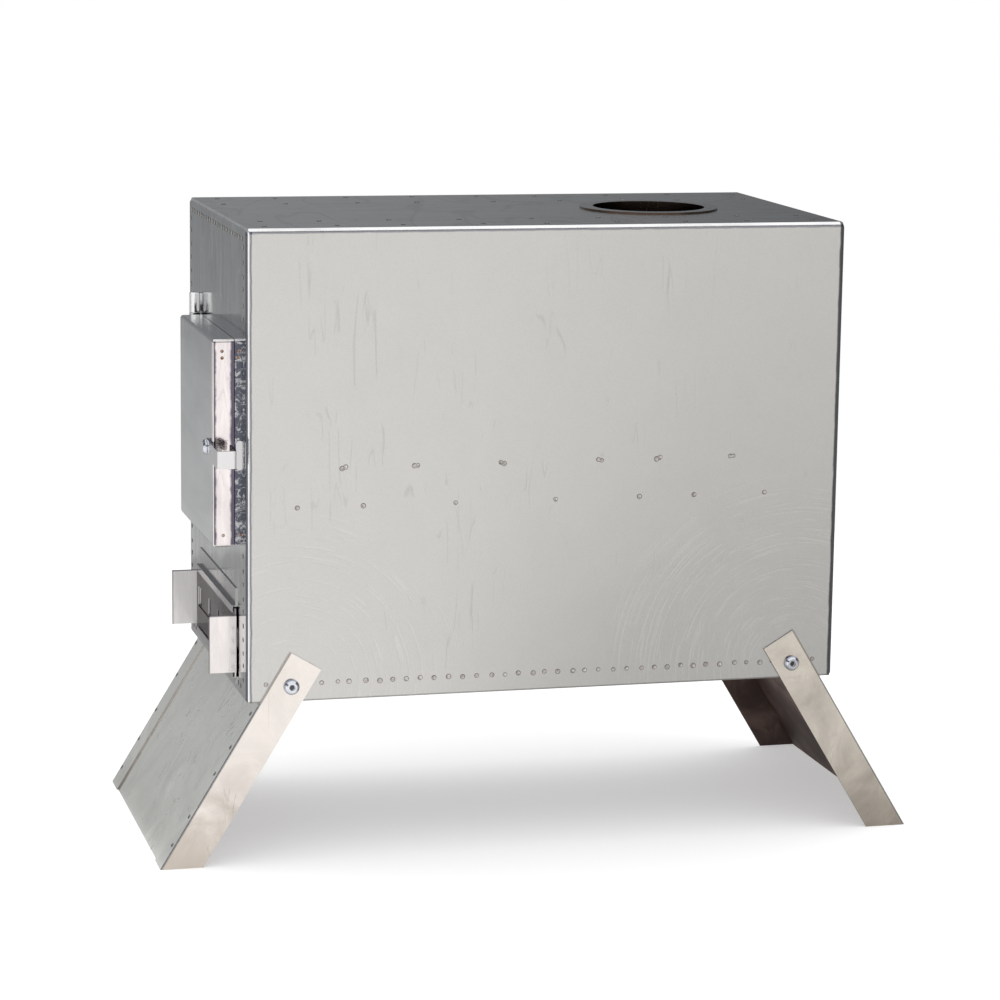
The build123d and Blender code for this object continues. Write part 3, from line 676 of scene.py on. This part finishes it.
def leg_finish(name, colour, inner, foot_darkening, blotch, browning=0.0):
    """Leg sheet, foot_darkening darker at the foot, its pools blotch apart in tone.

    inner, 1 or -1, is the way along x of the face painted brown as shade; browning=1 browns all.
    """
    finish = sheet_steel(name, 0.24, cloud=0.08, grain=0.05, scratch=0.12)
    x, _, z = finish.axes(finish.at)
    arm = square(finish, 1)
    pools = finish.noise(finish.at, 17.0, detail=4.0, rough=0.6, bend=1.4)
    shore = 1 - finish.step((pools - 0.56).size(), 0.0, 0.010)
    tide = shore * finish.step(finish.clouds, 0.45, 0.6)
    drawn = finish.stretch(finish.at, (1.0, 1.0, 0.35))
    runs = finish.noise(drawn, 30.0, detail=4.0, rough=0.6, bend=0.8)
    # Darker towards the foot, and warmer on the arms there.
    foot = 1 - finish.step(z + (pools - 0.5) * pool_rise, 0.0, foot_dark_height)
    finish.light = finish.light * (1 - tide * 0.13) * (1 + (runs - 0.5) * 0.20)
    finish.light = finish.light * (1 + (pools - 0.5) * blotch) * (1 - foot * foot_darkening)
    normal = finish.node("ShaderNodeTexCoord", output="Normal")
    across = finish.axes(normal)[0]
    # Faces looking under the stove, or all faces where browning is 1, are painted brown as shade.
    shaded_inside = finish.step(across * inner + browning, 0.45, 0.75)
    brown = finish.blend(finish.step(pools, 0.35, 0.65), shade_dark_brown, shade_brown)
    # A dark line along the bend into the web: painted shade.
    from_fold = (x * inner + leg_foot_out) * cos(leg_splay) - z * sin(leg_splay)
    fold = (1 - finish.step(from_fold, fold_full, fold_end)) * arm
    tone = finish.blend(arm, web_tone, colour)
    tone = finish.blend(foot * arm * 0.5, tone, foot_dark_tone)
    tone = finish.blend(fold * 0.65, tone, leg_fold_shade_tone)
    finish.rough = finish.rough + (runs - 0.5) * 0.12 + shaded_inside * 0.25
    finish.feed(Metallic=1 - shaded_inside * 0.85)
    return complete(finish, finish.blend(shaded_inside, tone, brown))


front_leg_tone, rear_leg_tone = (0.90, 0.845, 0.80), (0.93, 0.855, 0.755)
front_leg = leg_finish("front_leg_sheet", front_leg_tone, inner=1.0, foot_darkening=0.17, blotch=0.30)
rear_leg = leg_finish("rear_leg_sheet", rear_leg_tone, inner=-1.0, foot_darkening=0.22, blotch=0.80)
# The rear leg's far arm is painted brown all over: painted shade.
shaded_arm = leg_finish(
    "shaded_leg_sheet", rear_leg_tone, inner=-1.0, foot_darkening=0.22, blotch=0.80, browning=1.0)
dress(front_leg, "front_leg_arm_near", "front_leg_arm_far", "front_leg_web")
dress(rear_leg, "rear_leg_arm_near", "rear_leg_web")
dress(shaded_arm, "rear_leg_arm_far")
print("legs finished")

# %% [markdown]
# ## Inside, flue socket and fasteners
# The grate, its rails, the ribs, the pan and the door liner keep the mill's dull finish
# with a breath of soot.  The flue socket's tube is painted dark brown, as painted shade
# inside the socket.  Bolts, nuts and pins are bright zinc with a faint bluish cast.  The
# distance from a leg bolt's axis paints the hexagon socket in its head and the rim under
# it dark, as painted shade.

# %% Dull inner sheet, flue socket and zinc
# Distances of the painted shade in a leg bolt's hexagon socket and in the rim under its head.
socket_shade_full, socket_shade_end = 1.6 * MM, 2.1 * MM
rim_shade_line = [distance * MM for distance in (4.2, 4.8, 5.5, 6.0)]


def inner_finish():
    finish = sheet_steel("inner_sheet", 0.42, cloud=0.16, grain=0.06, scratch=0.12)
    sooty = finish.noise(finish.at, 21.0, detail=4.0, rough=0.65, bend=0.6)
    soot = finish.step(sooty, 0.45, 0.75) * 0.55
    tone = finish.blend(soot, (0.44, 0.43, 0.42), (0.16, 0.145, 0.135))
    return complete(finish, tone)


def flue_finish():
    finish = sheet_steel("flue_sheet", 0.20, cloud=0.10, grain=0.04, scratch=0.10)
    flat = square(finish, 2)
    # The tube painted a mottled dark brown: painted shade inside the socket.
    tube_mottle = finish.noise(finish.at, 34.0, rough=0.6, bend=0.8)
    tube = finish.blend(tube_mottle, (0.045, 0.030, 0.022), (0.15, 0.11, 0.085))
    return complete(finish, finish.blend(flat, tube, (0.50, 0.50, 0.50)))


def zinc_finish():
    finish = sheet_steel("zinc_plate", 0.16, cloud=0.12, grain=0.04, scratch=0.06)
    spangle = finish.noise(finish.at, 420.0, detail=2.0)
    tone = finish.blend(spangle, (0.62, 0.66, 0.74), (0.88, 0.89, 0.92))
    x, _, z = finish.axes(finish.at)
    beside, above = x.size() - leg_bolt_x, z - leg_bolt_z
    from_axis = (beside * beside + above * above) ** 0.5
    # The hexagon socket and the rim under the head are painted dark: painted shade.
    socket = 1 - finish.step(from_axis, socket_shade_full, socket_shade_end)
    rim_shade = finish.within(from_axis, *rim_shade_line)
    tone = finish.blend(socket * 0.92, tone, (0.03, 0.03, 0.035))
    return complete(finish, finish.blend(rim_shade * 0.6, tone, (0.10, 0.13, 0.20)))


dress(inner_finish(), "grate", "grate_rail_near", "grate_rail_far", "side_rib_near", "side_rib_far",
      "roof_rib_near", "roof_rib_far", "bottom_pan", "door_liner")
dress(flue_finish(), "flue_socket")
dress(zinc_finish(), "front_leg_bolts", "front_leg_nuts", "rear_leg_bolts", "rear_leg_nuts",
      "hinge_pin_upper", "hinge_pin_lower", "latch_rivet")
print("inner parts and fasteners finished")

# %% [markdown]
# ## Spot welds
# Every seam of the stove is spot-welded.  The electrodes leave a round mark: a low ring
# pushed up round a shallow crater, browned by the heat.  A mark is a small surface of
# turning: rings of points at growing radius, each at the height that a short profile
# gives, closed below the sheet.  The marks of one kind on one body are one mesh, made in
# one go by adding each mark's place to the same small grid.  The crest stands a quarter of
# a millimetre proud, which stays clear of the leg arms as they fold along the walls.

# %% One mesh for many weld marks
mark_radius = 1.75 * MM
ring_points = 10
# Each pair is a share of the radius and a height in units of mark_height.
mark_profile = np.array([(0.0, 0.03), (0.42, 0.05), (0.66, 0.30), (0.86, 0.25), (1.0, -0.05)])
mark_height = 0.85 * MM
upright = 0.9


def make_object(name, points, faces, finish, body):
    """A smooth mesh object from points and faces, dressed and riding on a body."""
    mesh = bpy.data.meshes.new(name)
    mesh.from_pydata(points.tolist(), [], faces)
    mesh.materials.append(finish.material)
    mesh.polygons.foreach_set("use_smooth", [True] * len(mesh.polygons))
    piece = bpy.data.objects.new(name, mesh)
    scene.collection.objects.link(piece)
    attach(piece, body)
    return piece


def mark_faces():
    """Faces of one mark: a fan at the crater, quads between rings, a fan below."""
    rings = len(mark_profile) - 1
    faces = []
    for i in range(ring_points):
        j = (i + 1) % ring_points
        faces.append((0, 1 + i, 1 + j))
        for ring in range(rings - 1):
            inner, outer = 1 + ring * ring_points, 1 + (ring + 1) * ring_points
            faces.append((inner + i, outer + i, outer + j, inner + j))
        last = 1 + (rings - 1) * ring_points
        faces.append((last + i, 1 + rings * ring_points, last + j))
    return faces


def weld_marks(name, centres, outwards, finish, body, sizes=None):
    """Marks at centres, raised along outwards: point = centre + across * r + outward * h."""
    centres, outwards = np.array(centres, float), np.array(outwards, float)
    outwards /= np.linalg.norm(outwards, axis=1, keepdims=True)
    sizes = np.ones(len(centres)) if sizes is None else sizes
    helper = np.where(np.abs(outwards[:, 2:3]) > upright, [[1.0, 0, 0]], [[0, 0, 1.0]])
    first = np.cross(helper, outwards)
    first /= np.linalg.norm(first, axis=1, keepdims=True)
    second = np.cross(outwards, first)
    turn = np.arange(ring_points) * 2 * pi / ring_points
    radii = mark_profile[1:, 0] * mark_radius
    heights = mark_profile[:, 1] * mark_height
    u = np.concatenate(([0.0], np.outer(radii, np.cos(turn)).ravel(), [0.0]))
    v = np.concatenate(([0.0], np.outer(radii, np.sin(turn)).ravel(), [0.0]))
    h = np.concatenate((heights[:1], np.repeat(heights[1:], ring_points), heights[-1:]))
    size = sizes[:, None, None]
    points = (
        centres[:, None, :]
        + size * (u[None, :, None] * first[:, None, :] + v[None, :, None] * second[:, None, :])
        + h[None, :, None] * outwards[:, None, :]
    )
    local = mark_faces()
    per_mark = len(u)
    faces = [
        tuple(index + mark * per_mark for index in face)
        for mark in range(len(centres)) for face in local
    ]
    piece = make_object(name, points.reshape(-1, 3), faces, finish, body)
    share = np.concatenate(([0.0], np.repeat(mark_profile[1:, 0], ring_points), [1.0]))
    across = piece.data.attributes.new("across", "FLOAT", "POINT")
    across.data.foreach_set("value", np.tile(share, len(centres)))
    return piece


def weld_finish():
    finish = sheet_steel("weld_marks", 0.30, cloud=0.10, grain=0.10, scratch=0.0)
    browning = finish.noise(finish.at, 520.0, rough=0.6)
    across = finish.node("ShaderNodeAttribute", {"attribute_name": "across"}, output="Fac")
    ring = finish.step(across, 0.68, 0.90)
    patches = finish.step(browning, 0.35, 0.65)
    tone = finish.blend(patches, (0.42, 0.38, 0.36), (0.74, 0.71, 0.68))
    return complete(finish, finish.blend(ring * 0.9, tone, (0.07, 0.055, 0.05)))


weld_metal = weld_finish()
print("one mark has", len(mark_faces()), "faces")

# %% [markdown]
# The marks follow the photograph: a close row along the foot of each wall, two loose
# staggered rows halfway up where the ribs are welded (the upper row in pairs), four rows
# on the roof that stop short of the flue, columns and rows round the edges of the end
# panels, and five on each lip of the legs.  A seeded random jitter keeps them from
# looking machine-set.

# %% Weld marks of the body
dice = np.random.default_rng(7)
back_low, back_high = (Vector(corner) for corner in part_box("back_panel"))
pair_half = 1.2 * MM
foot_row_start, foot_row_end, foot_row_up = -0.197, 0.196, 12 * MM
foot_pitch, clear_of_bolt = 9.8 * MM, 13 * MM
upper_row_z, lower_row_z = 0.273, 0.2465
upper_row_x = np.array([66.5, 116.5, 176.9, 246.2, 288.1, 341.5]) * MM - 0.210
lower_row_x = np.array([34.6, 80.0, 144.2, 215.0, 275.0, 314.6, 366.2]) * MM - 0.210
flue_x, flue_y, clear_of_flue = 0.103, 0.007, 0.056
roof_row_end, roof_edge, inner_roof_rows = 0.196, 16 * MM, (-0.060, 0.066)
near_column, far_column, column_end = 11 * MM, 5 * MM, 12 * MM
panel_row_in, top_row_start, bottom_row_start, panel_row_end = 6 * MM, 14 * MM, 20 * MM, 12 * MM
roof_pitch, panel_pitch = 49 * MM, 9.5 * MM


def spaced(start, stop, pitch, jitter):
    """Places from start to stop about pitch apart, each moved by up to jitter."""
    count = int(round((stop - start) / pitch)) + 1
    places = np.linspace(start, stop, count)
    return places + dice.uniform(-jitter, jitter, count)


def body_marks():
    """Centres and outward directions of all the marks on the shell and the end panels."""
    centres, outwards = [], []

    def add(points, outward):
        centres.extend(points)
        outwards.extend([outward] * len(points))

    foot_row_z = shell_low.z + foot_row_up
    for y, outward in ((shell_low.y, (0, -1, 0)), (shell_high.y, (0, 1, 0))):
        row = spaced(foot_row_start, foot_row_end, foot_pitch, jitter=1.2 * MM)
        row = row[np.abs(np.abs(row) - leg_bolt_x) > clear_of_bolt]
        add([(x, y, foot_row_z + dice.uniform(-0.5, 0.5) * MM) for x in row], outward)
        lean = dice.uniform(-0.6, 0.6, len(upper_row_x)) * MM
        for side in (-1, 1):
            add([(x + side * pair_half, y, upper_row_z + side * tilt)
                 for x, tilt in zip(upper_row_x, lean)], outward)
        add([(x, y, lower_row_z) for x in lower_row_x], outward)
    for y in (shell_low.y + roof_edge, *inner_roof_rows, shell_high.y - roof_edge):
        row = spaced(-roof_row_end, roof_row_end, roof_pitch, jitter=5 * MM)
        add([(x, y + dice.uniform(-2, 2) * MM, shell_high.z) for x in row
             if abs(x - flue_x) > clear_of_flue or abs(y - flue_y) > clear_of_flue], (0, 0, 1))
    for low, high, x, outward in ((panel_low, panel_high, panel_low.x, (-1, 0, 0)),
                                  (back_low, back_high, back_high.x, (1, 0, 0))):
        bottom, top = low.z + column_end, high.z - column_end
        for y in (low.y + near_column, high.y - far_column):
            column = spaced(bottom, top, panel_pitch, jitter=0.9 * MM)
            add([(x, y + dice.uniform(-0.6, 0.6) * MM, z) for z in column], outward)
        for z, start in ((high.z - panel_row_in, top_row_start),
                         (low.z + panel_row_in, bottom_row_start)):
            row = spaced(low.y + start, high.y - panel_row_end, panel_pitch, jitter=0.9 * MM)
            add([(x, y, z) for y in row], outward)
    return centres, outwards


centres, outwards = body_marks()
weld_marks("body_weld_marks", centres, outwards, weld_metal, "body",
           sizes=dice.uniform(0.90, 1.15, len(centres)))
print("weld marks on the body:", len(centres))

# %% Weld marks of the legs, the door and its frame
near_lip, far_lip = -0.1030, 0.1205
near_steps = np.array([17.7, 40.3, 74.3, 95.3, 122.0]) * MM
far_steps = np.array([13.3, 38.1, 63.2, 93.6, 121.4]) * MM
tack_size = 0.72
tack_drops, tack_rise = (8 * MM, 12.5 * MM), 8 * MM


def leg_marks(name, side, body):
    """Marks up both lips of a leg: foot + step * (-side * sin splay, 0, cos splay)."""
    centres = [
        (side * (leg_foot_out - step * sin(leg_splay)), y, step * cos(leg_splay))
        for y, steps in ((near_lip, near_steps), (far_lip, far_steps)) for step in steps
    ]
    outward = (side * cos(leg_splay), 0, sin(leg_splay))
    weld_marks(name, centres, [outward] * len(centres), weld_metal, body)


leg_marks("front_leg_weld_marks", -1, "front_leg")
leg_marks("rear_leg_weld_marks", 1, "rear_leg")

tack_metal = sheet_steel("tack_marks", 0.35, cloud=0.10, grain=0.10, scratch=0.0)
rust = tack_metal.step(tack_metal.noise(tack_metal.at, 600.0, rough=0.7), 0.40, 0.60)
complete(tack_metal, tack_metal.blend(rust, (0.30, 0.15, 0.09), (0.62, 0.52, 0.48)))
frame_low, frame_high = (Vector(corner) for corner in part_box("door_frame"))


def corner_tacks(name, low, high, body):
    """Small tack marks by the upper and lower corners of a box's near and far sides."""
    middle = (low.x + high.x) / 2
    centres, outwards = [], []
    for y, outward in ((low.y, -1), (high.y, 1)):
        for z in (*(high.z - drop for drop in tack_drops), low.z + tack_rise):
            centres.append((middle + dice.uniform(-1, 1) * MM, y, z))
            outwards.append((0, outward, 0))
    sizes = np.full(len(centres), tack_size)
    weld_marks(name, centres, outwards, tack_metal, body, sizes)


corner_tacks("door_tack_marks", door_low, door_high, "door")
corner_tacks("frame_tack_marks", frame_low, frame_high, "body")
print("leg, door and frame marks made")
